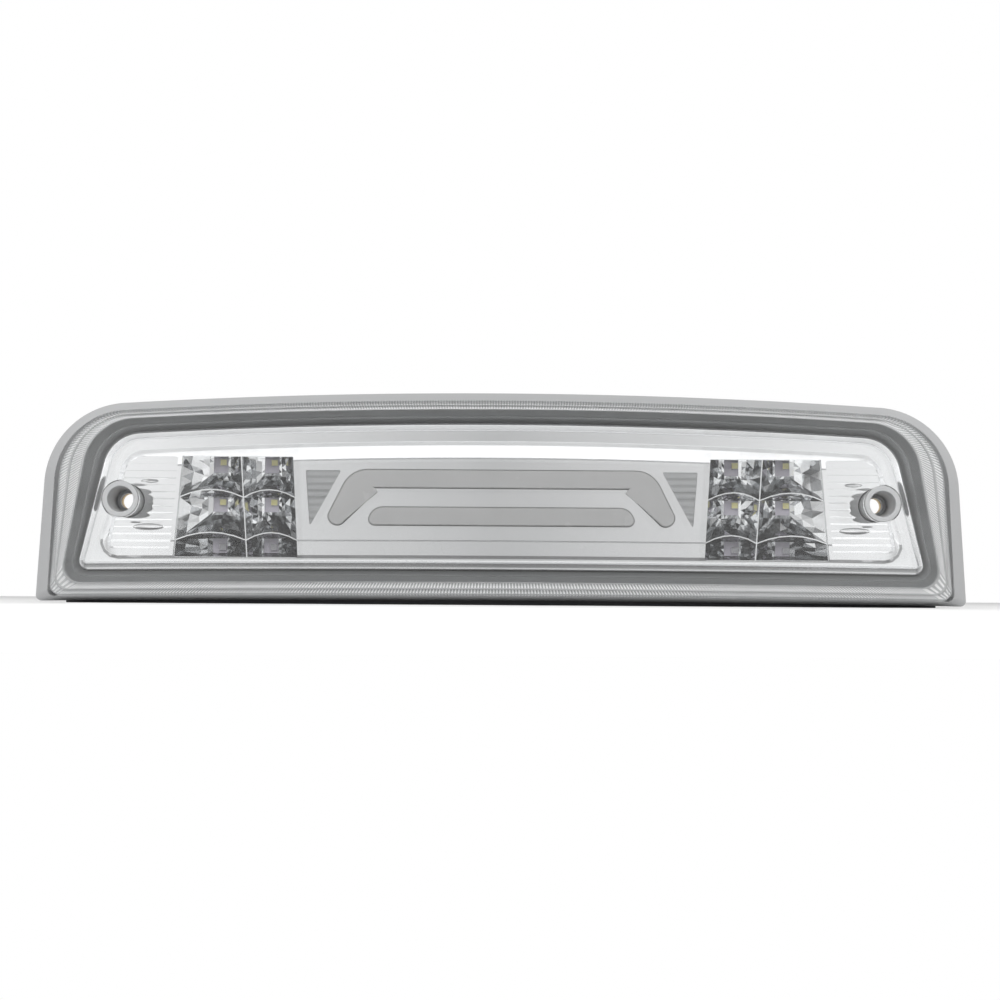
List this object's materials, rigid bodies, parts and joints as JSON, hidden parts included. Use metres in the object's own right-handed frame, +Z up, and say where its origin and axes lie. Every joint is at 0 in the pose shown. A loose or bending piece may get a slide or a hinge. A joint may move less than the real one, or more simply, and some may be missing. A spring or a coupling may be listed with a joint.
{
  "type": "third brake light",
  "caption": "Arched clear-lens third brake light for a pickup cab: chrome bezel with two milky light bars, cargo-lamp cups at both ends and a rear plug socket.",
  "frame": {"origin": "midway between the two screw axes, on the plane where the gasket meets the cab", "axes": "+X along the lamp's width, +Y into the cab along the screws, +Z up; the lens faces -Y"},
  "size_m": [0.3968, 0.0516, 0.0904],
  "materials": {
    "black_plastic": "black ABS, fine moulded texture",
    "black_rubber": "moulded rubber",
    "brass": "turned brass",
    "circuit_board": "glass-epoxy board, pale solder mask",
    "clear_led": "LED package with clear lens",
    "clear_lens": "clear polycarbonate, polished",
    "foam_rubber": "closed-cell foam rubber",
    "frosted_lens": "clear polycarbonate with an etched, frosted surface",
    "metallised": "vacuum-metallised mirror chrome over moulded plastic",
    "milky_diffuser": "milky white light guide, satin gloss",
    "red_led": "LED package, red emitter under clear resin",
    "red_wire": "PVC-insulated two-core lead",
    "satin_grey": "satin grey moulded plastic",
    "tinned_metal": "tin-plated brass",
    "white_led": "LED package with yellow phosphor",
    "white_plastic": "white reflective polycarbonate"
  },
  "bodies": {
    "root": {"ballast_resistor_1": "black_plastic", "ballast_resistor_2": "black_plastic", "ballast_resistor_3": "black_plastic", "bezel": "metallised", "bezel_surround": "satin_grey", "brake_board": "circuit_board", "brake_led_leg_left": "red_led", "brake_led_leg_right": "red_led", "brake_led_lower_1": "red_led", "brake_led_lower_2": "red_led", "brake_led_lower_3": "red_led", "brake_led_lower_4": "red_led", "brake_led_lower_5": "red_led", "brake_led_lower_6": "red_led", "brake_led_upper_1": "red_led", "brake_led_upper_2": "red_led", "brake_led_upper_3": "red_led", "brake_led_upper_4": "red_led", "brake_led_upper_5": "red_led", "brake_led_upper_6": "red_led", "brake_led_upper_7": "red_led", "brake_led_upper_8": "red_led", "cargo_board_left": "circuit_board", "cargo_board_right": "circuit_board", "cargo_led_left_1a": "white_led", "cargo_led_left_1b": "white_led", "cargo_led_left_2a": "white_led", "cargo_led_left_2b": "white_led", "cargo_led_left_3a": "clear_led", "cargo_led_left_3b": "clear_led", "cargo_led_right_1a": "white_led", "cargo_led_right_1b": "white_led", "cargo_led_right_2a": "white_led", "cargo_led_right_2b": "white_led", "cargo_led_right_3a": "clear_led", "cargo_led_right_3b": "clear_led", "cargo_reflector_left": "metallised", "cargo_reflector_right": "metallised", "connector_blade_1": "tinned_metal", "connector_blade_2": "tinned_metal", "connector_blade_3": "tinned_metal", "connector_blade_4": "tinned_metal", "connector_seal": "black_rubber", "connector_socket": "black_plastic", "gasket": "foam_rubber", "housing": "black_plastic", "jumper_wire_left": "red_wire", "jumper_wire_right": "red_wire", "lens_seal": "black_rubber", "light_box": "white_plastic", "lower_light_bar": "milky_diffuser", "outer_lens": "clear_lens", "reverse_diode": "black_plastic", "screw_bushing_left": "brass", "screw_bushing_right": "brass", "screw_sleeve_left": "frosted_lens", "screw_sleeve_right": "frosted_lens", "upper_light_bar": "milky_diffuser", "vent_cap": "black_rubber"}
  },
  "joints": []
}
